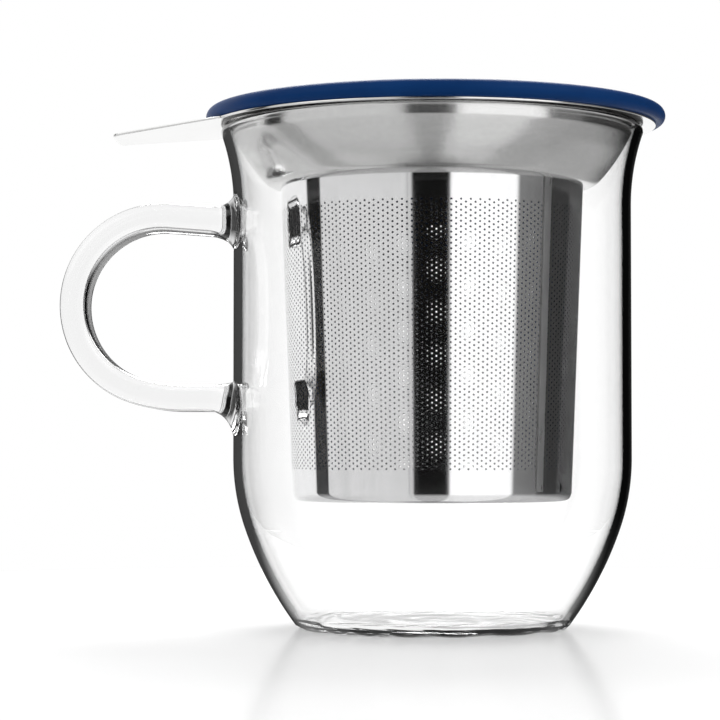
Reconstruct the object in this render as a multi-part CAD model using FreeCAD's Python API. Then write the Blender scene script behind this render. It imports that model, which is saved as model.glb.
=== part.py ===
import FreeCAD, Part
import math
import os

# A clear glass tea mug with a steel basket infuser hung from its rim and a soft lid laid on top.
# Millimetres, +Z up. The origin is on the mug's axis, in the plane that the mug stands on.
# The handle and the infuser's pull tab point to -X.

# Glass body, blown in one piece
body_radius = 41.6
glass_wall = 1.8
rim_top = 104.5
flare_start = 88.0
flare_radius = 47.0
belly_start = 35.5
belly_radius = 45.0
belly_turn = 19.0
heel_radius = 75.0
foot_corner = 2.0
base_thickness = 2.0
floor_corner = 3.0
foot_ring_width = 8.0
push_up = 0.6

# Handle, a bent strap of solid glass
strap_thickness = 5.5
strap_width = 14.0
strap_edge = 1.5
bow_radius = 18.55
bow_stand_off = 14.6
bow_height = 67.2
upper_limb_slope = 4.3
sweep_radius = 33.25
sweep_turn = 17.8

# The two fused feet that join the strap to the wall
foot_length = 4.8
foot_flare_height = 2.9
foot_flare_width = 3.0
lower_foot_drop = 2.2
foot_sink = 1.6

# Infuser collar, pressed in one piece: flange with tab, step, funnel and neck
collar_sheet = 0.5
seat_gap = 0.1
flange_overhang = 2.6
step_clearance = 0.4
step_depth = 2.1
funnel_depth = 10.5
funnel_radius = 40.0
bowl_corner = 4.5
bowl_lip = 0.4
neck_lap = 3.5

# Pull tab, the part of the flange that the fingers take
tab_reach = 19.8
tab_root_width = 34.4
tab_tip_width = 16.0
tab_corner = 3.0
tab_droop = 6.5

# Infuser screen, a rolled and lap-welded sheet with a pressed floor dish
screen_clearance = 8.1
screen_taper = 2.5
screen_height = 63.2
screen_sheet = 0.3
seam_width = 2.0
seam_thickness = 0.25
seam_azimuth = -45.0
dish_depth = 2.1
dish_corner = 1.2
dish_lap = 3.0
weld_gap = 0.02

# Lid, one soft moulding with a locating ring below
lid_overhang = 1.3
lid_height = 3.4
lid_lower_round = 1.5
lid_rim_width = 3.6
lid_recess = 1.0
lid_recess_corner = 1.0
lid_ring_depth = 0.5
lid_ring_width = 1.8
lid_ring_play = 1.0
lid_shift = 0.7


def point(r, z):
    """A point of a turned outline: r from the axis, z up."""
    return FreeCAD.Vector(r, 0, z)


def line(a, b):
    return Part.LineSegment(a, b).toShape()


def on_circle(centre, radius, degrees):
    """The point of a circle in the XZ plane, at an angle from +X towards +Z."""
    turn = math.radians(degrees)
    return centre + point(radius * math.cos(turn), radius * math.sin(turn))


def angle_of(centre, place):
    return math.degrees(math.atan2(place.z - centre.z, place.x - centre.x))


def arc(centre, radius, start, end):
    """An arc in the XZ plane between two angles in degrees."""
    middle = (start + end) / 2
    ends = [on_circle(centre, radius, a) for a in (start, middle, end)]
    return Part.Arc(*ends).toShape()


def turned(edges, degrees=360):
    """The solid that a closed outline in the XZ plane makes when it turns about Z."""
    face = Part.Face(Part.Wire(edges))
    return face.revolve(FreeCAD.Vector(0, 0, 0), FreeCAD.Vector(0, 0, 1), degrees)


def save(shape, node):
    solid = shape.removeSplitter() if shape.Solids else Part.makeSolid(shape)
    if solid.Volume < 0:
        solid.reverse()
    solid.exportStep("parts/" + node + ".step")
    print(node, round(solid.Volume, 1), "mm3", "valid" if solid.isValid() else "NOT VALID")


# The wall's arcs. Each surface of the wall is a step of so much inside the outer face.
flare_centre = point(body_radius + flare_radius, flare_start)
belly_centre = point(body_radius - belly_radius, belly_start)
heel_shift = heel_radius - belly_radius
turn_cos = math.cos(math.radians(belly_turn))
turn_sin = math.sin(math.radians(belly_turn))
heel_centre = belly_centre + point(-heel_shift * turn_cos, heel_shift * turn_sin)
rim_round = glass_wall / 2
rim_rise = rim_top - rim_round - flare_start
rim_angle = 180 - math.degrees(math.asin(rim_rise / (flare_radius + rim_round)))
rim_centre = on_circle(flare_centre, flare_radius + rim_round, rim_angle)


def upper_wall(step):
    """The wall's face from the belly up to the rim, at a step inside the outer face."""
    radius = body_radius - step
    belly = arc(belly_centre, belly_radius - step, -belly_turn, 0)
    side = line(point(radius, belly_start), point(radius, flare_start))
    flare = arc(flare_centre, flare_radius + step, 180, rim_angle)
    return [belly, side, flare]


def heel_arc(step, low_angle):
    """The wall's lowest stretch, down to the round at the foot or the floor."""
    return arc(heel_centre, heel_radius - step, low_angle, -belly_turn)


def heel_round(step, height, round_radius):
    """The centre of a round between the heel's face and a level plane at a height."""
    reach = heel_radius - step - round_radius
    rise = height + round_radius - heel_centre.z
    return point(heel_centre.x + math.sqrt(reach**2 - rise**2), height + round_radius)


def glass_body():
    """The blown body: a pushed-up base on a flat foot ring, belly, side and flared rim."""
    foot_round = heel_round(0, 0, foot_corner)
    foot_angle = angle_of(heel_centre, foot_round)
    floor_round = heel_round(glass_wall, base_thickness, floor_corner)
    floor_angle = angle_of(heel_centre, floor_round)
    ring_inner = foot_round.x - foot_ring_width
    dome_radius = (ring_inner**2 + push_up**2) / (2 * push_up)
    dome_centre = point(0, push_up - dome_radius)
    dome_edge = angle_of(dome_centre, point(ring_inner, 0))
    edges = [arc(dome_centre, dome_radius, 90, dome_edge)]
    edges.append(line(point(ring_inner, 0), point(foot_round.x, 0)))
    edges.append(arc(foot_round, foot_corner, -90, foot_angle))
    edges.append(heel_arc(0, foot_angle))
    edges += upper_wall(0)
    edges.append(arc(rim_centre, rim_round, rim_angle - 180, rim_angle))
    edges += upper_wall(glass_wall)
    edges.append(heel_arc(glass_wall, floor_angle))
    edges.append(arc(floor_round, floor_corner, floor_angle, -90))
    edges.append(line(point(floor_round.x, base_thickness), point(0, base_thickness)))
    edges.append(line(point(0, base_thickness), point(0, push_up)))
    return turned(Part.__sortEdges__(edges))


def body_envelope():
    """The body's outer form with no hollow, for cutting what is fused to the wall."""
    heel_low = on_circle(heel_centre, heel_radius, -belly_turn)
    edges = upper_wall(0)
    rim_end = on_circle(flare_centre, flare_radius, rim_angle)
    edges.append(line(rim_end, point(0, rim_end.z)))
    edges.append(line(point(0, rim_end.z), point(0, heel_low.z)))
    edges.append(line(point(0, heel_low.z), heel_low))
    return turned(Part.__sortEdges__(edges))


# The strap's centre line: a sloped upper limb, a round bow, a wider sweep and a level lower limb.
bow_centre = point(-body_radius - bow_stand_off, bow_height)
sweep_shift = sweep_radius - bow_radius
sweep_centre = bow_centre + point(
    sweep_shift * math.sin(math.radians(sweep_turn)),
    sweep_shift * math.cos(math.radians(sweep_turn)),
)
upper_direction = FreeCAD.Vector(
    math.cos(math.radians(upper_limb_slope)), 0, -math.sin(math.radians(upper_limb_slope))
)
lower_direction = FreeCAD.Vector(1, 0, 0)
strap_end_x = -body_radius - foot_length
upper_bend_angle = 90 - upper_limb_slope
upper_bend = on_circle(bow_centre, bow_radius, upper_bend_angle)
upper_run = (strap_end_x - upper_bend.x) / upper_direction.x
upper_end = upper_bend + upper_direction * upper_run
lower_end = point(strap_end_x, sweep_centre.z - sweep_radius)


def strap_side(step):
    """One long side of the strap, at a step outside the centre line."""
    up = FreeCAD.Vector(-upper_direction.z, 0, upper_direction.x)
    lower_start = point(sweep_centre.x, sweep_centre.z - sweep_radius - step)
    bow_end = 270 - sweep_turn
    return [
        line(upper_end + up * step, upper_bend + up * step),
        arc(bow_centre, bow_radius + step, upper_bend_angle, bow_end),
        arc(sweep_centre, sweep_radius + step, bow_end, 270),
        line(lower_start, lower_end - FreeCAD.Vector(0, 0, step)),
    ]


def handle_strap():
    """The bent strap, with its four long edges rounded."""
    half = strap_thickness / 2
    outer = strap_side(half)
    inner = strap_side(-half)
    upper_cap = line(outer[0].Vertexes[0].Point, inner[0].Vertexes[0].Point)
    lower_cap = line(outer[-1].Vertexes[-1].Point, inner[-1].Vertexes[-1].Point)
    edges = Part.__sortEdges__(outer + inner + [upper_cap, lower_cap])
    face = Part.Face(Part.Wire(edges))
    face.translate(FreeCAD.Vector(0, -strap_width / 2, 0))
    strap = face.extrude(FreeCAD.Vector(0, strap_width, 0))
    long_edges = []
    for edge in strap.Edges:
        ends = [v.Point for v in edge.Vertexes]
        level = abs(ends[0].y - ends[-1].y) < strap_edge
        along_cap = all(
            min((p - upper_end).dot(upper_direction) ** 2, (p.x - lower_end.x) ** 2) < 1e-6
            for p in ends
        )
        if level and not along_cap:
            long_edges.append(edge)
    return strap.makeFillet(strap_edge, long_edges)


def rounded_section(centre, direction, height, width, corner):
    """A rounded rectangle square to a direction in the XZ plane."""
    up = FreeCAD.Vector(-direction.z, 0, direction.x)
    side = FreeCAD.Vector(0, 1, 0)
    edges = []
    diagonal = corner * (1 - math.sqrt(0.5))
    signs = [(1, 1), (1, -1), (-1, -1), (-1, 1)]
    starts, ends = [], []
    for up_sign, side_sign in signs:
        up_edge = up * (up_sign * height / 2)
        side_edge = side * (side_sign * width / 2)
        near_up = centre + up_edge + side_edge - side * (side_sign * corner)
        near_side = centre + up_edge + side_edge - up * (up_sign * corner)
        middle = centre + up_edge + side_edge
        middle -= side * (side_sign * diagonal) + up * (up_sign * diagonal)
        first, last = (near_side, near_up) if up_sign * side_sign > 0 else (near_up, near_side)
        starts.append(first)
        ends.append(last)
        edges.append(Part.Arc(first, middle, last).toShape())
    for k in range(4):
        edges.append(line(ends[k], starts[(k + 1) % 4]))
    return Part.Wire(Part.__sortEdges__(edges))


def fused_foot(end, direction, drop):
    """A foot: the strap's section swells towards the wall, and the wall's form is cut away."""
    sections = []
    for share, growth in ((0.0, 0.0), (0.45, 0.3), (1.0, 1.0)):
        centre = end + direction * (share * (foot_length + foot_sink))
        centre -= FreeCAD.Vector(0, 0, growth * drop)
        height = strap_thickness + 2 * growth * foot_flare_height
        width = strap_width + 2 * growth * foot_flare_width
        corner = strap_edge + growth * (foot_flare_height + strap_thickness / 2 - 2 * strap_edge)
        sections.append(rounded_section(centre, direction, height, width, corner))
    return Part.makeLoft(sections, True, False).cut(body_envelope())


# The infuser's heights and radii, from the rim and the wall that hold it
flange_bottom = rim_top + seat_gap
flange_top = flange_bottom + collar_sheet
flange_radius = rim_centre.x + rim_round + flange_overhang
step_bottom = flange_bottom - step_depth
mouth_reach = flare_radius + glass_wall
mouth_radius = flare_centre.x - math.sqrt(mouth_reach**2 - (step_bottom - flare_start) ** 2)
step_radius = mouth_radius - step_clearance
bowl_bottom = step_bottom - funnel_depth
screen_bottom = bowl_bottom - screen_height
screen_top_radius = body_radius - glass_wall - screen_clearance
screen_bottom_radius = screen_top_radius - screen_taper
screen_slope = screen_taper / screen_height


def screen_radius(height):
    """The outer radius of the screen's cone."""
    return screen_bottom_radius + screen_slope * (height - screen_bottom)


def circle_about(first, first_radius, second, second_radius):
    """The centre that lies at two given distances from two points, on the inner lower side."""
    gap = second - first
    along = (first_radius**2 - second_radius**2 + gap.Length**2) / (2 * gap.Length)
    across = math.sqrt(first_radius**2 - along**2)
    unit = gap / gap.Length
    square = point(unit.z, -unit.x)
    if square.x > 0:
        square = square * -1
    return first + unit * along + square * across


def pull_tab():
    """The tab: a flat root in the flange's plane, and a tapered blade bent down past the rim."""
    bend_x = -rim_centre.x - rim_round - seat_gap
    tip_x = -flange_radius - tab_reach
    half_root, half_tip = tab_root_width / 2, tab_tip_width / 2
    root_corner = FreeCAD.Vector(bend_x, -half_root, flange_bottom)
    root = Part.makeBox(-step_radius - bend_x, tab_root_width, collar_sheet, root_corner)
    outline = [
        root_corner,
        FreeCAD.Vector(tip_x, -half_tip, flange_bottom),
        FreeCAD.Vector(tip_x, half_tip, flange_bottom),
        FreeCAD.Vector(bend_x, half_root, flange_bottom),
    ]
    face = Part.Face(Part.makePolygon(outline + outline[:1]))
    blade = face.extrude(FreeCAD.Vector(0, 0, collar_sheet))
    tip_edges = []
    for edge in blade.Edges:
        ends = [v.Point for v in edge.Vertexes]
        upright = abs(ends[0].z - ends[-1].z) > collar_sheet / 2
        if upright and ends[0].x < bend_x - tab_reach / 2:
            tip_edges.append(edge)
    blade = blade.makeFillet(tab_corner, tip_edges)
    bend = FreeCAD.Vector(bend_x, 0, flange_top)
    blade.rotate(bend, FreeCAD.Vector(0, 1, 0), -tab_droop)
    return root.fuse(blade)


def collar():
    """Flange, step, funnel and neck, turned as one sheet, with the pull tab."""
    bowl_centre = point(screen_top_radius + bowl_lip, bowl_bottom + bowl_corner)
    step_low = point(step_radius, step_bottom)
    funnel_centre = circle_about(
        step_low, funnel_radius, bowl_centre, funnel_radius - bowl_corner
    )
    knee = angle_of(funnel_centre, bowl_centre)
    step_angle = angle_of(funnel_centre, step_low)
    inside_step = step_radius - collar_sheet
    inside_funnel = funnel_radius - collar_sheet
    inner_low = point(
        inside_step,
        funnel_centre.z - math.sqrt(inside_funnel**2 - (inside_step - funnel_centre.x) ** 2),
    )
    neck_bottom = bowl_bottom - neck_lap
    neck_top_radius = screen_radius(bowl_bottom) - screen_sheet - weld_gap
    neck_low_radius = screen_radius(neck_bottom) - screen_sheet - weld_gap
    inner_floor = bowl_bottom + collar_sheet
    corners = [
        point(bowl_centre.x, bowl_bottom),
        point(neck_top_radius, bowl_bottom),
        point(neck_low_radius, neck_bottom),
        point(neck_low_radius - collar_sheet, neck_bottom),
        point(neck_top_radius - collar_sheet, inner_floor),
        point(bowl_centre.x, inner_floor),
    ]
    upper = [
        inner_low,
        point(inside_step, flange_top),
        point(flange_radius, flange_top),
        point(flange_radius, flange_bottom),
        point(step_radius, flange_bottom),
        step_low,
    ]
    edges = [line(a, b) for run in (corners, upper) for a, b in zip(run, run[1:])]
    edges.append(arc(funnel_centre, funnel_radius, step_angle, knee))
    edges.append(arc(bowl_centre, bowl_corner, knee, -90))
    edges.append(arc(bowl_centre, bowl_corner - collar_sheet, -90, knee))
    edges.append(arc(funnel_centre, inside_funnel, knee, angle_of(funnel_centre, inner_low)))
    sheet = turned(Part.__sortEdges__(edges))
    return sheet.fuse(pull_tab())


def screen():
    """The screen's wall, a cone of thin sheet. Its fine holes are too small to model here."""
    top, bottom = screen_top_radius, screen_bottom_radius
    corners = [
        point(bottom, screen_bottom),
        point(top, bowl_bottom),
        point(top - screen_sheet, bowl_bottom),
        point(bottom - screen_sheet, screen_bottom),
    ]
    return turned([line(a, b) for a, b in zip(corners, corners[1:] + corners[:1])])


def seam():
    """The lap where the rolled sheet's two edges are welded, proud of the wall."""
    near, far = weld_gap, weld_gap + seam_thickness
    corners = [
        point(screen_bottom_radius + near, screen_bottom),
        point(screen_top_radius + near, bowl_bottom),
        point(screen_top_radius + far, bowl_bottom),
        point(screen_bottom_radius + far, screen_bottom),
    ]
    spread = math.degrees(seam_width / screen_top_radius)
    strip = turned([line(a, b) for a, b in zip(corners, corners[1:] + corners[:1])], spread)
    turn = seam_azimuth - spread / 2
    strip.rotate(FreeCAD.Vector(0, 0, 0), FreeCAD.Vector(0, 0, 1), turn)
    return strip


def floor_dish():
    """The pressed floor: a flat disc, a rounded edge and a lap inside the screen."""
    dish_bottom = screen_bottom - dish_depth
    radius = screen_bottom_radius
    lap_radius = radius - screen_sheet - weld_gap
    lap_inner = lap_radius - screen_sheet
    corner_centre = point(radius - dish_corner, dish_bottom + dish_corner)
    inner_round = lap_inner - corner_centre.x
    inner_floor = dish_bottom + screen_sheet
    inner_centre = point(corner_centre.x, inner_floor + inner_round)
    lap_top = screen_bottom + dish_lap
    side = [
        point(radius, corner_centre.z),
        point(radius, screen_bottom),
        point(lap_radius, screen_bottom),
        point(lap_radius, lap_top),
        point(lap_inner, lap_top),
        point(lap_inner, inner_centre.z),
    ]
    bottom = [
        point(inner_centre.x, inner_floor),
        point(0, inner_floor),
        point(0, dish_bottom),
        point(corner_centre.x, dish_bottom),
    ]
    edges = [line(a, b) for run in (side, bottom) for a, b in zip(run, run[1:])]
    edges.append(arc(corner_centre, dish_corner, -90, 0))
    edges.append(arc(inner_centre, inner_round, 0, -90))
    return turned(Part.__sortEdges__(edges))


def lid():
    """A disc with a rounded rim, a shallow recess on top and a locating ring below."""
    radius = flange_radius + lid_overhang
    top = flange_top + lid_height
    upper_round = lid_height - lid_lower_round
    round_height = flange_top + lid_lower_round
    lower_centre = point(radius - lid_lower_round, round_height)
    upper_centre = point(radius - upper_round, round_height)
    recess_edge = upper_centre.x - lid_rim_width
    recess_floor = top - lid_recess
    recess_centre = point(recess_edge - lid_recess_corner, recess_floor + lid_recess_corner)
    ring_radius = step_radius - collar_sheet - lid_ring_play
    ring_bottom = flange_top - lid_ring_depth
    bottom = [
        point(lower_centre.x, flange_top),
        point(ring_radius, flange_top),
        point(ring_radius, ring_bottom),
        point(ring_radius - lid_ring_width, ring_bottom),
        point(ring_radius - lid_ring_width, flange_top),
        point(0, flange_top),
        point(0, recess_floor),
        point(recess_centre.x, recess_floor),
    ]
    crest = [point(recess_edge, recess_centre.z), point(recess_edge, top), point(upper_centre.x, top)]
    if recess_centre.z >= top:
        crest = crest[1:]
    edges = [line(a, b) for run in (bottom, crest) for a, b in zip(run, run[1:])]
    edges.append(arc(recess_centre, lid_recess_corner, -90, 0))
    edges.append(arc(upper_centre, upper_round, 90, 0))
    edges.append(arc(lower_centre, lid_lower_round, 0, -90))
    solid = turned(Part.__sortEdges__(edges))
    solid.translate(FreeCAD.Vector(lid_shift, 0, 0))
    return solid


os.makedirs("parts", exist_ok=True)
save(glass_body(), "mug_body")
save(handle_strap(), "mug_handle")
save(fused_foot(upper_end, upper_direction, 0), "handle_upper_foot")
save(fused_foot(lower_end, lower_direction, lower_foot_drop), "handle_lower_foot")
save(collar(), "infuser_collar")
save(screen(), "infuser_screen")
save(seam(), "infuser_seam")
save(floor_dish(), "infuser_floor")
save(lid(), "lid")
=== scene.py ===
import math

import bpy
import numpy as np
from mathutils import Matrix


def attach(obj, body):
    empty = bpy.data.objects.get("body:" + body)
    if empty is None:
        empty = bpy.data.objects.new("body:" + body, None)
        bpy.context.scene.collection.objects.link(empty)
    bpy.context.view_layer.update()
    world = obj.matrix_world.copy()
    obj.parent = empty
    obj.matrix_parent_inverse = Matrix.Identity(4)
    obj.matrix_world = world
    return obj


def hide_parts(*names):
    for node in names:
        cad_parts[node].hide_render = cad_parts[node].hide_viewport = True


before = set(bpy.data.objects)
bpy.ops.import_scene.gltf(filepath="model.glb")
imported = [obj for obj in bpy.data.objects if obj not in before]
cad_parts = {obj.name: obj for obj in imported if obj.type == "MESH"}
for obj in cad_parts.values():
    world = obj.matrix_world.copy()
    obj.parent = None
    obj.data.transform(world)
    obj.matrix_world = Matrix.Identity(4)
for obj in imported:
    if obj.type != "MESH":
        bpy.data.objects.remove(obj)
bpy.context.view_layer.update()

# Glass mug.
# The body is blown in one piece of clear heat-proof glass, with a pushed-up base and a rounded, flared rim.
# The handle is a bent strap of the same glass, with flared ends that are melted onto the wall, so it is all
# one mesh.
# Sizes here and below are in millimetres, as (distance from the mug's axis, height) where they are pairs.
millimetre = 0.001
body_radius, glass_wall = 41.6, 1.8
flare_centre, flare_radius, rim_angle = np.array([88.6, 88.0]), 47.0, 160.99
rim_centre = np.array([43.311, 103.6])
belly_centre, belly_radius, belly_turn = np.array([-3.4, 35.5]), 45.0, -19.0
heel_centre, heel_radius = np.array([-31.766, 45.267]), 75.0
foot_round, foot_corner, foot_angle = np.array([27.03, 2.0]), 2.0, -36.35
floor_round, floor_corner, floor_angle = np.array([25.74, 5.0]), 3.0, -35.0
foot_ring_inner, push_up, base_thickness = 19.03, 0.6, 2.0
floor_ripple, floor_reach, floor_edge, floor_fade = 0.06, 30.0, 29.5, 6.0
foot_ripple, foot_ripple_height, underside_from, underside_fade = 0.14, 3.5, 14.0, 5.0
tolerance = 0.01
body_sides = 256
sharp_from, melted_sharp_from = math.radians(32), math.radians(40)


def arc(centre, radius, start, end, chord=1.0):
    """Points at one radius round a centre, from a start to an end angle in degrees, a chord or less
    apart."""
    count = max(3, math.ceil(abs(math.radians(end - start)) * radius / chord))
    turn = np.radians(np.linspace(start, end, count + 1))
    return np.asarray(centre) + radius * np.stack([np.cos(turn), np.sin(turn)], 1)


def straight(first, last, chord=1.0):
    """Points on the line from the first to the last, evenly spaced, a chord or less apart."""
    first, last = np.asarray(first, float), np.asarray(last, float)
    count = max(1, math.ceil(np.hypot(*(last - first)) / chord))
    return first + (last - first) * np.linspace(0, 1, count + 1)[:, None]


def outline(*runs):
    """The runs one after another, without the points that repeat where one run meets the next."""
    points = np.concatenate(runs)
    step = np.hypot(*(points - np.roll(points, 1, 0)).T)
    return points[step > 1e-4]


def grid_faces(rows, columns, wrap_rows=False):
    """Four-cornered faces between neighbours on a grid whose columns close on themselves."""
    row = np.arange(rows if wrap_rows else rows - 1)[:, None]
    column = np.arange(columns)[None, :]
    beside, below = (column + 1) % columns, (row + 1) % rows
    corners = [row * columns + column, row * columns + beside,
               below * columns + beside, below * columns + column]
    return np.stack(np.broadcast_arrays(*corners), -1).reshape(-1, 4)


def put_mesh(name, points, faces):
    """A mesh object from points in millimetres and arrays of faces. The faces are turned over if the
    volume, the sum of each triangle's a . (b x c), is below zero."""
    points = np.asarray(points, float) * millimetre
    fans = np.concatenate([f[:, [0, k, k + 1]] for f in faces for k in range(1, f.shape[1] - 1)])
    a, b, c = (points[fans[:, k]] for k in range(3))
    if np.sum(a * np.cross(b, c)) < 0:
        faces = [f[:, ::-1] for f in faces]
    counts = np.concatenate([np.full(len(f), f.shape[1]) for f in faces])
    mesh = bpy.data.meshes.new(name)
    mesh.vertices.add(len(points))
    mesh.vertices.foreach_set("co", points.astype(np.float32).ravel())
    mesh.loops.add(int(counts.sum()))
    mesh.loops.foreach_set("vertex_index", np.concatenate([f.ravel() for f in faces]).astype(np.int32))
    mesh.polygons.add(len(counts))
    mesh.polygons.foreach_set("loop_start", (np.cumsum(counts) - counts).astype(np.int32))
    mesh.update(calc_edges=True)
    mesh.shade_smooth()
    mesh.set_sharp_from_angle(angle=sharp_from)
    thing = bpy.data.objects.new(name, mesh)
    bpy.context.scene.collection.objects.link(thing)
    return thing


def turned(name, profile, sides, reshape=None):
    """A profile turned about Z: (r, z) goes to (r cos a, r sin a, z) for even angles a. Its first and last
    points are poles on the axis."""
    ring = profile[1:-1]
    turn = np.arange(sides) * 2 * np.pi / sides
    r, z = ring[:, :1], ring[:, 1:]
    points = np.stack(np.broadcast_arrays(r * np.cos(turn), r * np.sin(turn), z), -1).reshape(-1, 3)
    poles = np.array([[0, 0, profile[0, 1]], [0, 0, profile[-1, 1]]])
    points = np.concatenate([points, poles])
    if reshape:
        points = reshape(points)
    last, column = len(ring) * sides, np.arange(sides)
    beside = (column + 1) % sides
    top = (len(ring) - 1) * sides
    first_fan = np.stack([np.full(sides, last), beside, column], 1)
    last_fan = np.stack([np.full(sides, last + 1), top + column, top + beside], 1)
    return put_mesh(name, points, [grid_faces(len(ring), sides), first_fan, last_fan])


def uneven_base(points):
    """The base of blown glass. The inner floor's height gains slow waves, gone at its edge and its middle.
    The foot draws in by an uneven wave round the axis, most at the ground and gone a few millimetres up,
    and the pushed-up underside rises by a finer wave, gone towards the middle."""
    x, y, z = points.T
    r, turn = np.hypot(x, y), np.arctan2(y, x)
    on_floor = (z > base_thickness - tolerance) * (z < base_thickness + floor_corner) * (r < floor_reach)
    edge = np.clip((floor_edge - r) / floor_fade, 0, 1)
    middle = np.clip(r / floor_fade, 0, 1)
    wave = np.sin(3 * turn + 0.5) * 0.5 + np.sin(7 * turn + r * 0.31) * 0.35 + np.sin(r * 0.8 + 2 * turn)
    points[:, 2] += on_floor * edge * floor_ripple * wave * middle
    low = np.clip(1 - z / foot_ripple_height, 0, 1) * (r > foot_ring_inner) * (1 - on_floor)
    uneven = 1 + np.sin(13 * turn + 2.6 * np.sin(5 * turn + 1)) * np.cos(3 * turn + 0.4)
    points[:, :2] *= (1 - low * foot_ripple * uneven / np.maximum(r, 1))[:, None]
    under = (z < push_up + tolerance) * np.clip((r - underside_from) / underside_fade, 0, 1)
    points[:, 2] += under * foot_ripple * (1 + np.sin(17 * turn + 2 * np.sin(3 * turn) + r))
    return points


# The outline starts at the middle of the underside, goes up the outside, over the rim and down the inside.
# The last number of each run is how far apart its points may lie.
inside_radius = body_radius - glass_wall
dome = np.linspace(0, foot_ring_inner, 15)
body_profile = outline(
    np.stack([dome, push_up * (1 - (dome / foot_ring_inner) ** 2)], 1),
    straight([foot_ring_inner, 0], [foot_round[0], 0]),
    arc(foot_round, foot_corner, -90, foot_angle, 0.35),
    arc(heel_centre, heel_radius, foot_angle, belly_turn, 1.2),
    arc(belly_centre, belly_radius, belly_turn, 0, 1.2),
    straight([body_radius, belly_centre[1]], [body_radius, flare_centre[1]], 1.5),
    arc(flare_centre, flare_radius, 180, rim_angle),
    arc(rim_centre, glass_wall / 2, rim_angle - 180, rim_angle, 0.25),
    arc(flare_centre, flare_radius + glass_wall, rim_angle, 180),
    straight([inside_radius, flare_centre[1]], [inside_radius, belly_centre[1]], 1.5),
    arc(belly_centre, belly_radius - glass_wall, 0, belly_turn, 1.2),
    arc(heel_centre, heel_radius - glass_wall, belly_turn, floor_angle, 1.2),
    arc(floor_round, floor_corner, floor_angle, -90, 0.5),
    straight([floor_round[0], base_thickness], [0, base_thickness], 0.9),
)
glass_mug = turned("glass_mug", body_profile, body_sides, uneven_base)

# The handle's centre line starts at the upper end and follows a sloped limb, a round bow and a wider sweep
# to a level limb. At both ends its section grows into a foot.
strap_thickness, strap_width, strap_edge = 5.5, 14.0, 2.0
strap_end = -46.4
upper_end, upper_bend = np.array([strap_end, 85.066]), np.array([-54.809, 85.698])
bow_centre, bow_radius, bow_from, bow_to = np.array([-56.2, 67.2]), 18.55, 85.7, 252.2
sweep_centre, sweep_radius = np.array([-51.706, 81.196]), 33.25
lower_end = np.array([strap_end, 47.946])
foot_growth_high, foot_growth_wide, lower_foot_drop, sunk = 2.9, 3.0, 2.2, 1.0
foot_turn, foot_steps, foot_flat = 76, 16, 0.3
flare_height = 15


def section_shares(across=10, through=3, round_steps=6):
    """A rounded rectangle as shares. Each point is (a, c) for both axes, and lies at a (half size - corner)
    plus c times the corner's radius."""
    shares = []
    for k, (su, sv) in enumerate([(1, 1), (-1, 1), (-1, -1), (1, -1)]):
        turn = np.radians(90 * k + np.linspace(0, 90, round_steps + 1))
        corner = np.stack([np.full_like(turn, su), np.full_like(turn, sv), np.cos(turn), np.sin(turn)], 1)
        after = [(-1, 1), (-1, -1), (1, -1), (1, 1)][k]
        count = across if su == after[0] else through
        flat = np.linspace(0, 1, count + 1)[1:-1, None]
        end = corner[-1]
        side_run = end[:2] + (np.array(after) - end[:2]) * flat
        shares += [corner, np.concatenate([side_run, np.tile(end[2:], (len(flat), 1))], 1)]
    return np.concatenate(shares)


def foot_stations(end, direction, drop):
    """Stations from the strap's end to the wall and a little into it. The section swells like a quarter
    round, so that it meets the glass almost level with it: for an angle A that grows from 0, the way along
    is sin A and the growth is 1 - cos A, both as shares of their last value. Columns: x, z, half height,
    half width, corner, share of the wall's shape, gap to the wall."""
    turn = np.radians(np.linspace(0, foot_turn, foot_steps))
    along = np.append(np.sin(turn) / np.sin(turn[-1]), 1)
    growth = np.append((1 - np.cos(turn)) / (1 - np.cos(turn[-1])), 1)
    length = -body_radius - end[0]
    centre = end + np.outer(along * length, direction)
    centre[:, 1] -= growth * drop
    high = strap_thickness / 2 + growth * foot_growth_high
    wide = strap_width / 2 + growth * foot_growth_wide
    corner = strap_edge + growth * (high[-1] - strap_edge - foot_flat)
    gap = (1 - along) * length
    gap[-1] = -sunk
    return np.column_stack([centre, high, wide, corner, along**2 * (3 - 2 * along), gap])


def wall_reach(y, z):
    """How far from the axis plane the wall's outer face is at a sideways place and a height: the square
    root of radius squared less y squared, where the radius follows the flare's circle above the straight
    side."""
    rise = np.clip(z - flare_centre[1], 0, flare_height)
    radius = body_radius + flare_radius - np.sqrt(flare_radius**2 - rise**2)
    return np.sqrt(radius**2 - y**2)


slope = (upper_end - upper_bend) / np.hypot(*(upper_end - upper_bend))
centre_line = outline(
    straight(upper_end, upper_bend, 1.2)[1:],
    arc(bow_centre, bow_radius, bow_from, bow_to, 0.7),
    arc(sweep_centre, sweep_radius, bow_to, 270, 0.9),
    straight([sweep_centre[0], lower_end[1]], lower_end, 1.2)[:-1],
)
plain = np.tile([strap_thickness / 2, strap_width / 2, strap_edge, 0, 0], (len(centre_line), 1))
stations = np.concatenate([
    foot_stations(upper_end, slope, 0)[::-1],
    np.column_stack([centre_line, plain]),
    foot_stations(lower_end, np.array([1.0, 0]), lower_foot_drop),
])
in_foot = foot_steps + 1
along_strap = np.gradient(stations[:, :2], axis=0)
along_strap[:in_foot], along_strap[-in_foot:] = -slope, [1.0, 0]
along_strap /= np.hypot(*along_strap.T)[:, None]
outward = np.stack([-along_strap[:, 1], along_strap[:, 0]], 1)
shares = section_shares()
corner = stations[:, 4:5]
offset = shares[:, 0] * (stations[:, 2:3] - corner) + shares[:, 2] * corner
side = shares[:, 1] * (stations[:, 3:4] - corner) + shares[:, 3] * corner
strap_x = stations[:, :1] + outward[:, :1] * offset
strap_z = stations[:, 1:2] + outward[:, 1:] * offset
to_wall, gap = stations[:, 5:6], stations[:, 6:7]
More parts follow.
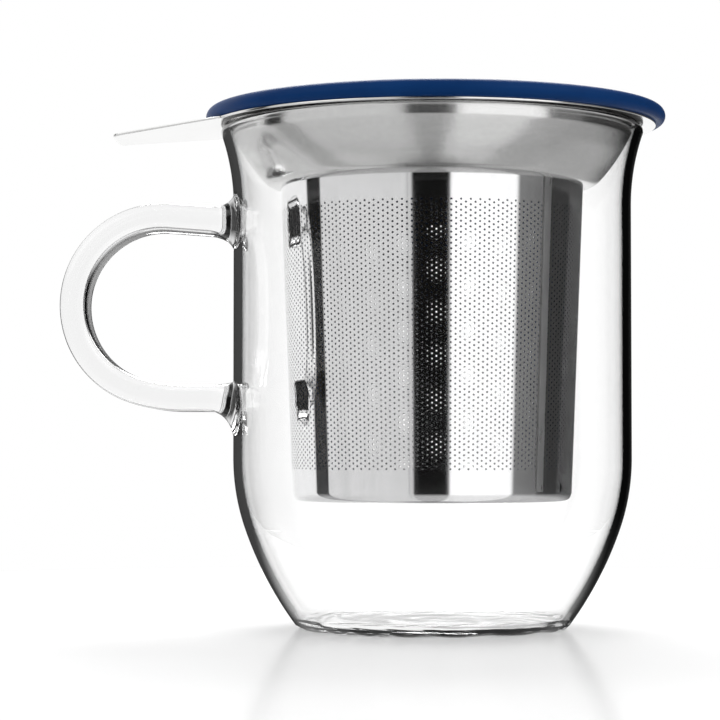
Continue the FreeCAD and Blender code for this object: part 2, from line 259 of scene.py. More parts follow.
strap_x = strap_x * (1 - to_wall) - to_wall * (wall_reach(side, strap_z) + gap)
strap_points = np.stack([strap_x, side, strap_z], -1).reshape(-1, 3)
around = len(shares)
caps = np.array([np.arange(around), len(strap_points) - 1 - np.arange(around)])
strap = put_mesh("strap", strap_points, [grid_faces(len(stations), around)[:, ::-1], caps])

melt = glass_mug.modifiers.new("melt", "BOOLEAN")
melt.operation, melt.solver, melt.object = "UNION", "EXACT", strap
bpy.context.view_layer.update()
melted = bpy.data.meshes.new_from_object(glass_mug.evaluated_get(bpy.context.evaluated_depsgraph_get()))
glass_mug.modifiers.clear()
glass_mug.data = melted
melted.name = "glass_mug"
melted.shade_smooth()
melted.set_sharp_from_angle(angle=melted_sharp_from)
bpy.data.objects.remove(strap)


def add(tree, kind, sockets=None, **settings):
    """One node of a kind. Sockets, by name or number, take a value or are linked from another node's
    output."""
    made = tree.nodes.new(kind)
    for key, value in settings.items():
        setattr(made, key, value)
    for key, value in (sockets or {}).items():
        if isinstance(value, bpy.types.NodeSocket):
            tree.links.new(value, made.inputs[key])
        else:
            made.inputs[key].default_value = value
    return made


def finish_of(name, **sockets):
    """A material with one Principled BSDF, its plain values set on its own sockets, and Object
    coordinates."""
    material = bpy.data.materials.new(name)
    material.use_nodes = True
    tree = material.node_tree
    shader = tree.nodes["Principled BSDF"]
    for key, value in sockets.items():
        shader.inputs[key.replace("_", " ")].default_value = value
    place = add(tree, "ShaderNodeTexCoord").outputs["Object"]
    return material, tree, shader, place


def dress(piece, material, body=None, nodes=()):
    """Gives a piece its material and its body, and hides the CAD nodes it stands for."""
    piece.data.materials.clear()
    piece.data.materials.append(material)
    if body:
        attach(piece, body)
    if nodes:
        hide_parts(*nodes)


# Where the glass is seen edge-on, its colour is mixed towards dark grey. This is painted shade that stands
# in for the dark edges the room gives the glass. On the thick strap that painted shade begins at a smaller
# slant than on the thin wall. A slow bump stands for the waves of blown glass.
glass_tint, painted_edge_shade = (0.99, 0.99, 0.99, 1), (0.2, 0.2, 0.2, 1)
clear_glass, tree, shader, place = finish_of(
    "clear_glass", Base_Color=glass_tint, Roughness=0.0, IOR=1.47, Transmission_Weight=1.0)
turned_away = add(tree, "ShaderNodeLayerWeight", {"Blend": 0.5})
out_left = add(tree, "ShaderNodeSeparateXYZ", {0: place}).outputs["X"]
on_handle = add(tree, "ShaderNodeMapRange", {
    "Value": out_left, "From Min": -0.045, "From Max": -0.049, "To Min": 0.8, "To Max": 0.5})
painted_shade_share = add(tree, "ShaderNodeMapRange", {
    "Value": turned_away.outputs["Facing"], "From Min": on_handle.outputs[0], "From Max": 1.0})
# Painted shade: the glass colour goes towards dark grey as the face turns edge-on.
painted_contour = add(tree, "ShaderNodeMix", {"Factor": painted_shade_share.outputs[0], "A": glass_tint, "B": painted_edge_shade},
              data_type="RGBA")
tree.links.new(painted_contour.outputs["Result"], shader.inputs["Base Color"])
slow_wave = add(tree, "ShaderNodeTexNoise", {"Vector": place, "Scale": 34.0, "Detail": 1.0})
blown = add(tree, "ShaderNodeBump", {"Height": slow_wave.outputs[0], "Strength": 0.25, "Distance": 0.00016})
tree.links.new(blown.outputs[0], shader.inputs["Normal"])
dress(glass_mug, clear_glass, "mug",
      ["mug_body", "mug_handle", "handle_upper_foot", "handle_lower_foot"])

# Infuser collar.
# One disc of stainless sheet is pressed into flange, step, funnel and neck. Its pull tab is left on when
# the disc is cut out, then bent down past the rim. The face is satin, brushed all over before pressing.
sheet, sheet_edge = 0.5, 0.12
flange_bottom, flange_top, flange_radius = 104.6, 105.1, 46.811
step_radius, step_bottom = 41.604, 102.5
bowl_bottom, bowl_corner, bowl_x = 92.0, 4.5, 32.1
funnel_radius = 40.0
neck_bottom, neck_top_radius, neck_low_radius = 88.5, 31.38, 31.2415
bend_x, tab_tip_x, tab_droop, bend_softness = -44.311, -66.46, math.tan(math.radians(6.5)), 0.35
tab_half_root, tab_half_tip = 17.2, 8.0
tab_within, tip_power, root_power = 1.0, 70.0, 150.0
bend_reach, flat_run = 0.4, 1.5


def circle_between(first, first_radius, second, second_radius):
    """The centre that lies at two given distances from two points, on the upper side of the line that goes
    down and inwards from the first to the second. The law of cosines gives its place along the line."""
    gap = second - first
    length = np.hypot(*gap)
    along = (first_radius**2 - second_radius**2 + length**2) / (2 * length)
    unit = gap / length
    square = np.array([unit[1], -unit[0]])
    return first + unit * along + square * math.sqrt(first_radius**2 - along**2)


def angle_from(centre, place):
    """The angle in degrees at which a place is seen from a centre."""
    return math.degrees(math.atan2(place[1] - centre[1], place[0] - centre[0]))


def eased(points, corner, reach):
    """Rounds the corner nearest to a place: a quadratic curve between the points a reach before and after
    it."""
    away = np.hypot(*(points - corner).T)
    near = np.flatnonzero(away < reach)
    first, last = near[0], near[-1]
    t = np.linspace(0, 1, 7)[:, None]
    curve = (1 - t) ** 2 * points[first - 1] + 2 * t * (1 - t) * corner + t**2 * points[last + 1]
    return np.concatenate([points[: first - 1], curve, points[last + 2 :]])


def tab_outline(turn):
    """How far the sheet reaches at each angle: the flange's circle, softly joined (a high power mean) with
    a tab whose tapered sides and tip are straight lines, each at its distance from the axis over its slant
    to the ray."""
    from_tab = np.abs((turn % (2 * np.pi)) - np.pi)
    run = np.array([tab_tip_x - bend_x, tab_half_tip - tab_half_root])
    normal = np.array([run[1], -run[0]]) / np.hypot(*run)
    reach = normal @ [bend_x, tab_half_root]
    facing = np.clip(from_tab, 0, tab_within)
    side = reach / (-normal[0] * np.cos(facing) + normal[1] * np.sin(facing))
    tip = -tab_tip_x / np.cos(facing)
    tab = (side**-tip_power + tip**-tip_power) ** (-1 / tip_power)
    tab = np.where(from_tab < tab_within, tab, 1.0)
    return ((tab / flange_radius) ** root_power + 1) ** (1 / root_power) * flange_radius


bowl_centre = np.array([bowl_x, bowl_bottom + bowl_corner])
step_low = np.array([step_radius, step_bottom])
funnel_centre = circle_between(step_low, funnel_radius, bowl_centre, funnel_radius - bowl_corner)
knee, step_angle = angle_from(funnel_centre, bowl_centre), angle_from(funnel_centre, step_low)
inside_step, inside_funnel = step_radius - sheet, funnel_radius - sheet
inner_low = np.array([
    inside_step, funnel_centre[1] - math.sqrt(inside_funnel**2 - (inside_step - funnel_centre[0]) ** 2)
])
pressed = outline(
    straight([step_radius + flat_run, flange_bottom], [step_radius, flange_bottom], 0.15),
    straight([step_radius, flange_bottom], step_low, 0.15),
    arc(funnel_centre, funnel_radius, step_angle, knee, 0.3),
    arc(bowl_centre, bowl_corner, knee, -90, 0.3),
    straight([bowl_x, bowl_bottom], [neck_top_radius, bowl_bottom], 0.3),
    straight([neck_top_radius, bowl_bottom], [neck_low_radius, neck_bottom], 0.6),
    straight([neck_low_radius, neck_bottom], [neck_low_radius - sheet, neck_bottom], 0.3),
    straight([neck_low_radius - sheet, neck_bottom], [neck_top_radius - sheet, bowl_bottom + sheet], 0.6),
    straight([neck_top_radius - sheet, bowl_bottom + sheet], [bowl_x, bowl_bottom + sheet], 0.3),
    arc(bowl_centre, bowl_corner - sheet, -90, knee, 0.3),
    arc(funnel_centre, inside_funnel, knee, angle_from(funnel_centre, inner_low), 0.3),
    straight(inner_low, [inside_step, flange_top], 0.15),
    straight([inside_step, flange_top], [inside_step + flat_run, flange_top], 0.15),
)
for bend in ([step_radius, flange_bottom], step_low, inner_low, [inside_step, flange_top]):
    pressed = eased(pressed, np.asarray(bend, float), bend_reach)

# Each ring has a radius, a height, its share of the way out to the sheet's own outline, and how far it
# stays inside that outline. The six rings of the cut edge ease its two corners.
outwards = np.concatenate([np.linspace(0, 0.25, 14)[1:], np.linspace(0.25, 1, 30)[1:-1]])
inset = sheet_edge * np.array([1, 0.3, 0, 0, 0.3, 1])
eased_by = sheet_edge * np.array([0, 0.3, 1, 1, 0.3, 0])
level = np.repeat([flange_top, flange_bottom], 3) - eased_by * np.repeat([1, -1], 3)


def flange_rings(start, height):
    """The rings of one face of the flange, from a radius outwards, close together near the step."""
    same = np.ones_like(outwards)
    return np.column_stack([start * same, height * same, outwards, sheet_edge * same])


rings = np.concatenate([
    np.column_stack([pressed, np.zeros((len(pressed), 2))]),
    flange_rings(inside_step + flat_run, flange_top),
    np.column_stack([np.full(6, step_radius), level, np.ones(6), inset]),
    flange_rings(step_radius + flat_run, flange_bottom)[::-1],
])
tab_side, round_steps, tab_steps = math.radians(152), 300, 190
turn = np.concatenate([
    np.linspace(-tab_side, tab_side, round_steps, endpoint=False),
    np.linspace(tab_side, 2 * np.pi - tab_side, tab_steps, endpoint=False),
])
reach = tab_outline(turn)
radius = rings[:, :1] + rings[:, 2:3] * (reach - rings[:, 3:] - rings[:, :1])
x, y = radius * np.cos(turn), radius * np.sin(turn)
past_bend = bend_softness * np.logaddexp(0, (bend_x - x) / bend_softness)
on_flange = rings[:, 1:2] > step_bottom + 1
z = rings[:, 1:2] - tab_droop * past_bend * on_flange
collar = put_mesh(
    "collar", np.stack([x, y, z], -1).reshape(-1, 3), [grid_faces(len(rings), len(turn), wrap_rows=True)]
)

# The steels share this look: fine drawn lines, broad smudges from handling, and a little relief.
handled = bpy.data.node_groups.new("handled_steel", "ShaderNodeTree")
for socket, kind, start in (
    ("Place", "NodeSocketVector", None), ("Steel", "NodeSocketColor", (0.7, 0.7, 0.7, 1)),
    ("Smoothest", "NodeSocketFloat", 0.1), ("Roughest", "NodeSocketFloat", 0.3),
    ("Lines", "NodeSocketFloat", 900.0), ("Streak", "NodeSocketFloat", 1.0),
):
    made = handled.interface.new_socket(socket, in_out="INPUT", socket_type=kind)
    if start is not None:
        made.default_value = start
for socket, kind in (
    ("Color", "NodeSocketColor"), ("Roughness", "NodeSocketFloat"), ("Height", "NodeSocketFloat")
):
    handled.interface.new_socket(socket, in_out="OUTPUT", socket_type=kind)
given = add(handled, "NodeGroupInput").outputs
stretch = add(handled, "ShaderNodeCombineXYZ", {0: 1.0, 1: 1.0, 2: given["Streak"]})
stretched = add(handled, "ShaderNodeVectorMath", {0: given["Place"], 1: stretch.outputs[0]},
                operation="MULTIPLY")
drawn = add(handled, "ShaderNodeTexNoise", {
    "Vector": stretched.outputs[0], "Scale": given["Lines"], "Detail": 3.0})
smudge = add(handled, "ShaderNodeTexNoise", {"Vector": given["Place"], "Scale": 42.0, "Detail": 3.0})
mixed = add(handled, "ShaderNodeMath", {0: drawn.outputs[0], 1: 0.45}, operation="MULTIPLY")
worn = add(handled, "ShaderNodeMath", {0: smudge.outputs[0], 1: 0.55, 2: mixed.outputs[0]},
           operation="MULTIPLY_ADD")
rough = add(handled, "ShaderNodeMapRange", {
    "Value": worn.outputs[0], "From Min": 0.35, "From Max": 0.65, "To Min": given["Smoothest"],
    "To Max": given["Roughest"]})
shade = add(handled, "ShaderNodeMapRange", {
    "Value": worn.outputs[0], "From Min": 0.3, "From Max": 0.7, "To Min": 0.94, "To Max": 1.03})
tinted = add(handled, "ShaderNodeVectorMath", {0: given["Steel"], "Scale": shade.outputs[0]},
             operation="SCALE")
add(handled, "NodeGroupOutput", {
    "Color": tinted.outputs[0], "Roughness": rough.outputs[0], "Height": drawn.outputs[0]})


def steel(name, colour, smoothest, roughest, lines, streak, relief):
    """A steel finish: the shared look with its own colour, range of roughness, line spacing, stretch of the
    lines along Z and depth of relief."""
    material, tree, shader, place = finish_of(name, Metallic=1.0)
    look = add(tree, "ShaderNodeGroup", node_tree=handled)
    tree.links.new(place, look.inputs["Place"])
    for key, value in (("Steel", colour), ("Smoothest", smoothest), ("Roughest", roughest), ("Lines", lines),
                       ("Streak", streak)):
        look.inputs[key].default_value = value
    grain = add(tree, "ShaderNodeBump", {
        "Height": look.outputs["Height"], "Strength": 0.4, "Distance": relief})
    tree.links.new(look.outputs["Color"], shader.inputs["Base Color"])
    tree.links.new(look.outputs["Roughness"], shader.inputs["Roughness"])
    tree.links.new(grain.outputs[0], shader.inputs["Normal"])
    return material, tree, shader, place, look


satin_steel, *_ = steel("satin_steel", (0.63, 0.63, 0.625, 1), 0.13, 0.21, 1400.0, 1.0, 0.000002)
dress(collar, satin_steel, "infuser", ["infuser_collar"])

# Infuser screen.
# A strip of thin polished sheet, etched with round holes in staggered columns and left plain along its
# edges, is rolled into a cone and lap-welded. Three sectors of it keep each mesh small; they meet without a
# gap.
screen_bottom, screen_low_radius, screen_high_radius = 28.8, 29.2, 31.7
screen_mid_radius = (screen_low_radius + screen_high_radius) / 2
screen_top, screen_sheet = bowl_bottom, 0.3
hole_columns, hole_rows, sectors = 204, 58, 3
hole_radius, holes_from, holes_to = 0.225, 33.1, 87.3
seam_angle, seam_plain = math.radians(-45.0), 1.45


def screen_cells(first_column, column_count):
    """Six-sided cells in staggered columns, each with a round hole or none. Column i is at angle i times
    the column step, and its level edges are at odd or even half pitches; an edge runs a third of a step to
    each side. Heights past the screen's ends are held to them. Returns corner and hole points as (angle,
    height), and the faces of one skin, anticlockwise from outside."""
    pitch = (screen_top - screen_bottom) / hole_rows
    step = 2 * np.pi / hole_columns
    columns = first_column + np.arange(-1, column_count + 1)
    levels = np.arange(hole_rows + 2)
    odd = (columns % 2)[:, None]
    edge = screen_bottom + pitch / 4 + (levels - np.where(odd == 1, 1.0, 0.5)) * pitch
    edge = np.clip(edge, screen_bottom, screen_top)
    left = np.stack(np.broadcast_arrays((columns[:, None] - 1 / 3) * step, edge), -1)
    right = np.stack(np.broadcast_arrays((columns[:, None] + 1 / 3) * step, edge), -1)
    corners = np.concatenate([left.reshape(-1, 2), right.reshape(-1, 2)])
    number = np.arange(left[..., 0].size).reshape(left.shape[:2])
    shift = number.size
    i, k = np.meshgrid(np.arange(1, column_count + 1), np.arange(hole_rows + 1), indexing="ij")
    i, k = i.ravel(), k.ravel()
    beside = k + (columns[i] % 2 == 0)
    loop = np.stack([
        number[i, k] + shift, number[i + 1, beside], number[i, k + 1] + shift,
        number[i, k + 1], number[i - 1, beside] + shift, number[i, k],
    ], 1)
    centre_angle = columns[i] * step
    centre_height = screen_bottom + pitch / 4 + (k - np.where(columns[i] % 2 == 1, 0.5, 0.0)) * pitch
    from_seam = np.abs((centre_angle - seam_angle + np.pi) % (2 * np.pi) - np.pi) * screen_high_radius
    open_cell = (centre_height > holes_from) & (centre_height < holes_to) & (from_seam > seam_plain)
    way = np.radians([-60, 0, 60, 120, 180, 240])
    holes_angle = centre_angle[open_cell, None] + hole_radius * np.cos(way) / screen_mid_radius
    holes_height = centre_height[open_cell, None] + hole_radius * np.sin(way)
    holes = np.stack([holes_angle, holes_height], -1).reshape(-1, 2)
    hole_loop = len(corners) + np.arange(len(holes)).reshape(-1, 6)
    whole = loop[open_cell]
    ring_faces = np.stack([whole, np.roll(whole, -1, 1), np.roll(hole_loop, -1, 1), hole_loop], -1)
    plain_cells = loop[~open_cell]
    plain_faces = np.concatenate([plain_cells[:, [0, 1, 2, 3]], plain_cells[:, [0, 3, 4, 5]]])
    return np.concatenate([corners, holes]), np.concatenate([ring_faces.reshape(-1, 4), plain_faces])


def two_skins(flat, faces):
    """The flat cells bent into two cones a sheet apart, joined by a wall at every edge that only one face
    uses. Returns points, faces and a normal for each face corner: square to the cone on the skins, the
    cross product of two of its edges on a wall."""
    used, inverse = np.unique(faces, return_inverse=True)
    flat, faces = flat[used], inverse.reshape(faces.shape)
    count = len(flat)
    taper = (screen_high_radius - screen_low_radius) / (screen_top - screen_bottom)
    outer = screen_low_radius + taper * (flat[:, 1] - screen_bottom)
    away = np.stack([np.cos(flat[:, 0]), np.sin(flat[:, 0])], 1)
    skins = [np.column_stack([away * r[:, None], flat[:, 1]]) for r in (outer, outer - screen_sheet)]
    start, end = faces.ravel(), np.roll(faces, -1, 1).ravel()
    lone = ~np.isin(start * count + end, end * count + start)
    start, end = start[lone], end[lone]
    walls = np.stack([end, start, start + count, end + count], 1)
    points = np.concatenate(skins)
    slant = np.column_stack([away, np.full(count, -taper)]) / math.hypot(1, taper)
    first_edge = points[walls[:, 1]] - points[walls[:, 0]]
    square = np.cross(first_edge, points[walls[:, 3]] - points[walls[:, 0]])
    square /= np.linalg.norm(square, axis=1)[:, None]
    normals = np.concatenate([
        slant[faces.ravel()], -slant[faces[:, ::-1].ravel()], np.repeat(square, 4, axis=0)
    ])
    return points, np.concatenate([faces, faces[:, ::-1] + count, walls]), normals


# A spot weld left a small dark mark low on the screen: an ellipsoid about its place, here in metres.
polished_steel, tree, shader, place, look = steel(
    "polished_steel", (0.76, 0.76, 0.765, 1), 0.03, 0.07, 700.0, 0.15, 0.000001)
weld_radius, weld_angle, weld_height = 0.0292, math.radians(-29), 0.0296
weld_place = weld_radius * math.cos(weld_angle), weld_radius * math.sin(weld_angle), weld_height
weld_size = 0.0005, 0.0005, 0.0009
from_weld = add(tree, "ShaderNodeMapping", {
    "Vector": place, "Location": tuple(-p / s for p, s in zip(weld_place, weld_size)),
    "Scale": tuple(1 / s for s in weld_size)})
weld_reach = add(tree, "ShaderNodeVectorMath", {0: from_weld.outputs[0]}, operation="LENGTH")
weld_mark = add(tree, "ShaderNodeMapRange", {
    "Value": weld_reach.outputs["Value"], "From Min": 0.7, "From Max": 1.2, "To Min": 1.0, "To Max": 0.0})
marked = add(tree, "ShaderNodeMix", {
    "Factor": weld_mark.outputs[0], "A": look.outputs["Color"], "B": (0.004, 0.004, 0.004, 1)},
    data_type="RGBA")
tree.links.new(marked.outputs["Result"], shader.inputs["Base Color"])
for k in range(sectors):
    flat, faces = screen_cells(k * hole_columns // sectors, hole_columns // sectors)
    points, faces, normals = two_skins(flat, faces)
    screen = put_mesh(f"screen_sector_{k + 1}", points, [faces])
    screen.data.normals_split_custom_set(normals.tolist())
    dress(screen, polished_steel, "infuser", ["infuser_screen"])

# Screen seam.
# The rolled sheet's lap is a plain narrow strip, spot-welded from top to bottom. The weld's heat has dulled
# it, and it keeps the CAD shape.
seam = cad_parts["infuser_seam"]
seam_steel, *_ = steel("seam_steel", (0.8, 0.8, 0.8, 1), 0.26, 0.34, 900.0, 0.2, 0.000003)
dress(seam, seam_steel)

# Infuser floor.
# A shallow dish of the same thin sheet, pressed with a rounded edge and welded inside the screen's lower
# end. Its edge is a quarter of an ellipse between the flat bottom and the screen.
dish_bottom, dish_radius, dish_corner, lap_radius, lap_top = 26.7, 29.2, 1.2, 28.88, 31.8
dish_flat, dish_inner = dish_radius - dish_corner, lap_radius - screen_sheet
dish_sides = 256
inner_round = dish_inner - dish_flat
inner_bottom = dish_bottom + screen_sheet
dish_profile = outline(
    straight([0, dish_bottom], [dish_flat, dish_bottom], 1.5),
    [dish_flat, screen_bottom] + arc([0, 0], 1, -90, 0, 0.08) * [dish_corner, screen_bottom - dish_bottom],
    straight([dish_radius, screen_bottom], [lap_radius, screen_bottom], 0.4),
    straight([lap_radius, screen_bottom], [lap_radius, lap_top], 0.8),
    straight([lap_radius, lap_top], [dish_inner, lap_top], 0.4),
    straight([dish_inner, lap_top], [dish_inner, inner_bottom + inner_round], 0.8),
    arc([dish_flat, inner_bottom + inner_round], inner_round, 0, -90, 0.15),
    straight([dish_flat, inner_bottom], [0, inner_bottom], 1.5),
)
dish = turned("infuser_dish", dish_profile, dish_sides)
dress(dish, polished_steel, "infuser", ["infuser_floor"])

# Lid.
# One soft moulding of deep blue silicone rubber: a disc with a rounded rim, a shallow recess on top and a
# ring below. It lies on the flange by its own weight, a little off centre.
lid_radius, lid_bottom, lid_top = 48.111, flange_top, 108.5
lid_lower_round, lid_upper_round = 1.5, 1.9
recess_floor, recess_edge, recess_corner, recess_lip, recess_from = 107.5, 42.6, 1.0, 0.3, -20
ring_outer, ring_inner, ring_bottom, ring_soft = 40.1, 38.3, 104.6, 0.2
lid_shift, lid_sides, lid_middle = 0.7, 288, 4


def shifted(points):
    """The lid as it lies, moved sideways on the flange."""
    return points + [lid_shift, 0, 0]


lower_x, upper_x = lid_radius - lid_lower_round, lid_radius - lid_upper_round
round_z = lid_bottom + lid_lower_round
ring_round_z = ring_bottom + ring_soft
lid_profile = outline(
    [[0, lid_bottom]],
    straight([lid_middle, lid_bottom], [ring_inner, lid_bottom], 4),
    straight([ring_inner, lid_bottom], [ring_inner, ring_round_z], 0.5),
    arc([ring_inner + ring_soft, ring_round_z], ring_soft, 180, 270, 0.15),
    arc([ring_outer - ring_soft, ring_round_z], ring_soft, 270, 360, 0.15),
    straight([ring_outer, ring_round_z], [ring_outer, lid_bottom], 0.5),
    straight([ring_outer, lid_bottom], [lower_x, lid_bottom], 1.5),
    arc([lower_x, round_z], lid_lower_round, -90, 0, 0.15),
    arc([upper_x, round_z], lid_upper_round, 0, 90, 0.15),
    straight([upper_x, lid_top], [recess_edge + recess_lip, lid_top], 0.6),
    arc([recess_edge + recess_lip, lid_top - recess_lip], recess_lip, 90, 180, 0.1),
    arc([recess_edge - recess_corner, recess_floor + recess_corner], recess_corner, recess_from, -90, 0.2),
    straight([recess_edge - recess_corner, recess_floor], [lid_middle, recess_floor], 3),
    [[0, recess_floor]],
)
lid = turned("lid_disc", lid_profile, lid_sides, shifted)
silicone, tree, shader, place = finish_of("lid_silicone", Roughness=0.42, Specular_IOR_Level=0.07)
cloud = add(tree, "ShaderNodeTexNoise", {"Vector": place, "Scale": 60.0, "Detail": 4.0})
deep = add(tree, "ShaderNodeMapRange", {"Value": cloud.outputs[0], "From Min": 0.3, "From Max": 0.7})
blue = add(tree, "ShaderNodeMix", {
    "Factor": deep.outputs[0], "A": (0.0012, 0.03, 0.128, 1), "B": (0.003, 0.042, 0.17, 1)},
    data_type="RGBA")
tree.links.new(blue.outputs["Result"], shader.inputs["Base Color"])
rub = add(tree, "ShaderNodeMapRange", {
    "Value": cloud.outputs[0], "From Min": 0.3, "From Max": 0.7, "To Min": 0.38, "To Max": 0.5})
tree.links.new(rub.outputs[0], shader.inputs["Roughness"])
mould = add(tree, "ShaderNodeTexNoise", {"Vector": place, "Scale": 5200.0, "Detail": 2.0})
skin = add(tree, "ShaderNodeBump", {"Height": mould.outputs[0], "Strength": 0.35, "Distance": 0.00003})
tree.links.new(skin.outputs[0], shader.inputs["Normal"])
dress(lid, silicone, "lid", ["lid"])

# Studio.
# A pale, slightly glossy table, a white room and soft lamps. Steel and glass mirror a room with light and
# dark screens at its sides. Its image is dimmed inside the glass walls, so that their edges stay dark, and
# the table isn't seen by light that has been mirrored. Seen straight or through the glass, the room is
# plain white.
table_radius, table_sides, table_drop = 0.26, 128, 0.00002
table_turn = np.arange(table_sides) * 2 * np.pi / table_sides
table_edge = np.stack([
    np.cos(table_turn) * table_radius, np.sin(table_turn) * table_radius, np.full(table_sides, -table_drop)
], 1)
table_mesh = bpy.data.meshes.new("table")
table_mesh.from_pydata(table_edge.tolist(), [], [list(range(table_sides))])
table = bpy.data.objects.new("table", table_mesh)
bpy.context.scene.collection.objects.link(table)
table_finish = bpy.data.materials.new("pale_table")
table_finish.use_nodes = True
tree = table_finish.node_tree
tree.nodes.clear()
ray = add(tree, "ShaderNodeLightPath").outputs
matt = add(tree, "ShaderNodeBsdfDiffuse", {"Color": (0.62, 0.62, 0.62, 1)})
sheen = add(tree, "ShaderNodeBsdfGlossy", {"Color": (0.95, 0.95, 0.95, 1), "Roughness": 0.13})
surface = add(tree, "ShaderNodeMixShader", {0: 0.2, 1: matt.outputs[0], 2: sheen.outputs[0]})
unmirrored = add(tree, "ShaderNodeMath", {0: ray["Is Camera Ray"], 1: ray["Is Transmission Ray"]},
                 operation="MAXIMUM")
looked_at = add(tree, "ShaderNodeMath", {0: unmirrored.outputs[0], 1: ray["Is Glossy Ray"]},
                operation="MAXIMUM")
white_lift = add(tree, "ShaderNodeMapRange", {
    "Value": ray["Transmission Depth"], "From Min": 2.0, "From Max": 4.0, "To Min": 0.29, "To Max": 0.42})
lift = add(tree, "ShaderNodeMath", {0: looked_at.outputs[0], 1: white_lift.outputs[0]}, operation="MULTIPLY")
glow = add(tree, "ShaderNodeEmission", {"Color": (1, 1, 1, 1), "Strength": lift.outputs[0]})
lifted = add(tree, "ShaderNodeAddShader", {0: surface.outputs[0], 1: glow.outputs[0]})
after_mirror = add(tree, "ShaderNodeMath", {0: ray["Glossy Depth"], 1: 0.5}, operation="GREATER_THAN")
unseen = add(tree, "ShaderNodeBsdfTransparent")
table_shown = add(tree, "ShaderNodeMixShader", {
    0: after_mirror.outputs[0], 1: lifted.outputs[0], 2: unseen.outputs[0]})
add(tree, "ShaderNodeOutputMaterial", {"Surface": table_shown.outputs[0]})
table_mesh.materials.append(table_finish)

# The mirrored room: its screens by bearing, a paler ground, a dark spot straight down and a grey ceiling.
room = bpy.data.worlds.new("room")
bpy.context.scene.world = room
room.use_nodes = True
tree = room.node_tree
tree.nodes.clear()
ray = add(tree, "ShaderNodeLightPath").outputs
way = add(tree, "ShaderNodeSeparateXYZ", {0: add(tree, "ShaderNodeTexCoord").outputs["Generated"]}).outputs
front = add(tree, "ShaderNodeMath", {0: way["Y"], 1: -1.0}, operation="MULTIPLY")
bearing = add(tree, "ShaderNodeMath", {0: way["X"], 1: front.outputs[0]}, operation="ARCTAN2")
around_room = add(tree, "ShaderNodeMapRange", {
    "Value": bearing.outputs[0], "From Min": -math.pi, "From Max": math.pi})
screens = add(tree, "ShaderNodeValToRGB", {0: around_room.outputs[0]})
# Each stop is a bearing from the front, to the right, in degrees, and the brightness as a share of the
# brightest.
panels = [
    (-180, 0.8), (-110, 0.8), (-108.5, 0.0), (-94, 0.0), (-93, 0.62), (-45, 0.6), (-20.6, 0.58), (-20, 0.3),
    (-19.4, 0.55), (-17, 0.55), (-16.4, 0.005), (11, 0.005), (13, 1.0), (64, 1.0), (67, 0.17), (90, 0.13),
    (94, 0.035), (162, 0.035), (167, 0.8),
]
brightest = 1.55
ramp = screens.color_ramp.elements
for k, (bearing_at, bright) in enumerate(panels):
    stop = ramp[k] if k < 2 else ramp.new(1.0)
    stop.position = (bearing_at + 180) / 360
    stop.color = (bright, bright, bright, 1)
walls = add(tree, "ShaderNodeVectorMath", {0: screens.outputs[0], "Scale": brightest}, operation="SCALE")


def blend(tree, factor, first, second):
    """The colour part of the way, by a factor, from the first to the second."""
    mix = add(tree, "ShaderNodeMix", {"Factor": factor, "A": first, "B": second}, data_type="RGBA")
    return mix.outputs["Result"]


def number_blend(tree, factor, first, second):
    """The number part of the way, by a factor, from the first to the second."""
    return add(tree, "ShaderNodeMix", {"Factor": factor, "A": first, "B": second}).outputs[0]


def from_to(tree, value, low, high, **ends):
    """A value's way from a low to a high limit as a share, held to 0 and 1, or to the given ends."""
    limits = {"Value": value, "From Min": low, "From Max": high}
    limits.update({key.replace("_", " "): end for key, end in ends.items()})
    return add(tree, "ShaderNodeMapRange", limits).outputs[0]


def more_than(tree, value, limit):
    """1 where a value is over its limit, else 0."""
    return add(tree, "ShaderNodeMath", {0: value, 1: limit}, operation="GREATER_THAN").outputs[0]


low = from_to(tree, way["Z"], -0.12, -0.4, To_Max=0.62)
ground = blend(tree, low, walls.outputs[0], (0.95, 0.95, 0.95, 1))
straight_down = from_to(tree, way["Z"], -0.95, -0.99)
nadir = blend(tree, straight_down, ground, (0.12, 0.12, 0.12, 1))
high = from_to(tree, way["Z"], 0.55, 0.75)
open_room = blend(tree, high, nadir, (0.8, 0.8, 0.8, 1))

# How much of that room a mirrored ray sees. A sharp first reflection off the glass sees little, and less
# towards the back. A ray inside one wall sees almost nothing, and one that is through the walls or much
# mirrored sees all. A steep ray sees most of it.
sideways = add(tree, "ShaderNodeMath", {0: bearing.outputs[0]}, operation="ABSOLUTE")
first_face = from_to(tree, sideways.outputs[0], 2.3, 2.5, To_Min=0.22, To_Max=0.05)
off_glass = number_blend(tree, ray["Is Singular Ray"], 1.0, first_face)
entered = more_than(tree, ray["Transmission Depth"], 0.5)
inner_face = number_blend(tree, entered, off_glass, 0.045)
crossed = more_than(tree, ray["Transmission Depth"], 3.5)
often = more_than(tree, ray["Glossy Depth"], 3.5)
free = add(tree, "ShaderNodeMath", {0: crossed, 1: often}, operation="MAXIMUM")
level_share = number_blend(tree, free.outputs[0], inner_face, 1.0)
slant = add(tree, "ShaderNodeMath", {0: way["Z"]}, operation="ABSOLUTE")
steep = from_to(tree, slant.outputs[0], 0.2, 0.5)
share = number_blend(tree, steep, level_share, 0.9)
mirrored_room = add(tree, "ShaderNodeVectorMath", {0: open_room, "Scale": share}, operation="SCALE")

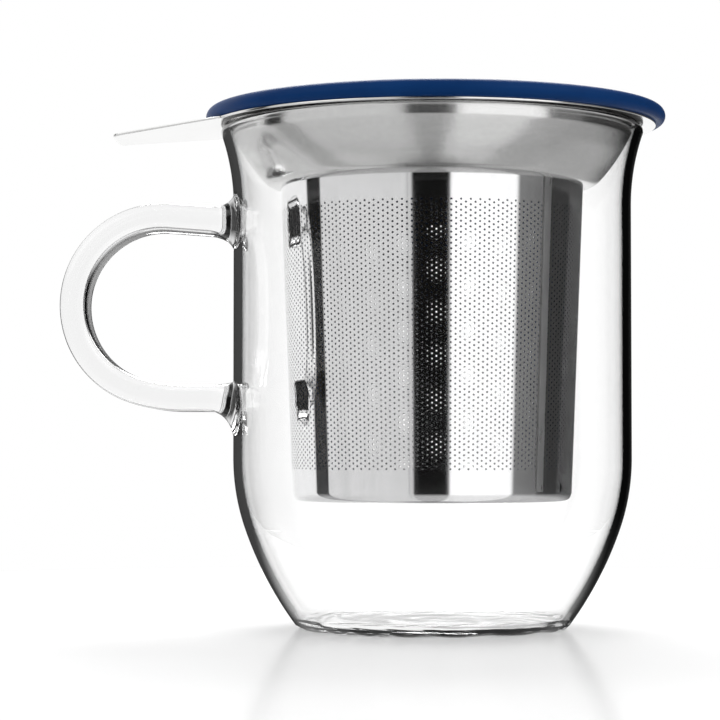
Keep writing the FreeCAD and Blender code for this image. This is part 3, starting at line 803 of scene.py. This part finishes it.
# The plain white room, a little brighter through four glass faces, which would else look grey.
plain_light = blend(tree, ray["Is Diffuse Ray"], (1, 1, 1, 1), (0.62, 0.62, 0.62, 1))
through_walls = from_to(tree, ray["Transmission Depth"], 2.0, 4.0, To_Min=0.97, To_Max=1.18)
white_level = add(tree, "ShaderNodeMath", {0: through_walls, 1: ray["Is Camera Ray"]}, operation="MAXIMUM")
backdrop = add(tree, "ShaderNodeVectorMath", {0: plain_light, "Scale": white_level.outputs[0]},
               operation="SCALE")
mirrored = more_than(tree, ray["Glossy Depth"], 0.5)
room_shown = blend(tree, mirrored, backdrop.outputs[0], mirrored_room.outputs[0])
light = add(tree, "ShaderNodeBackground", {"Color": room_shown, "Strength": 1.0})
add(tree, "ShaderNodeOutputWorld", {"Surface": light.outputs[0]})

lamp_aim = np.array([0, 0, 0.05])
for name, spot, size, power in (
    ("lamp_right", (0.75, -0.55, 0.75), 0.7, 2.2),
    ("lamp_left", (-0.8, -0.5, 0.7), 0.7, 1.3),
    ("lamp_behind", (0.0, 0.62, 0.75), 0.5, 6.5),
):
    lamp = bpy.data.objects.new(name, bpy.data.lights.new(name, "AREA"))
    lamp.data.size, lamp.data.energy = size, power
    lamp.location = spot
    aim = lamp_aim - np.array(spot)
    tilt, heading = math.atan2(math.hypot(aim[0], aim[1]), -aim[2]), math.atan2(aim[1], aim[0])
    lamp.rotation_euler = (tilt, 0, heading - math.pi / 2)
    bpy.context.scene.collection.objects.link(lamp)

# Camera.
# It stands half a metre in front of the mug, a little left of its axis and below its middle, and looks
# slightly up.
look_up = math.radians(1.97)
camera = bpy.data.objects.new("camera", bpy.data.cameras.new("camera"))
camera.data.lens, camera.data.sensor_width = 125.0, 36.0
camera.data.clip_start, camera.data.clip_end = 0.01, 20.0
camera.location = (-0.0151, -0.524, 0.038)
camera.rotation_euler = (math.pi / 2 + look_up, 0, 0)
bpy.context.scene.collection.objects.link(camera)
bpy.context.scene.camera = camera
bpy.context.scene.view_settings.view_transform = "Standard"
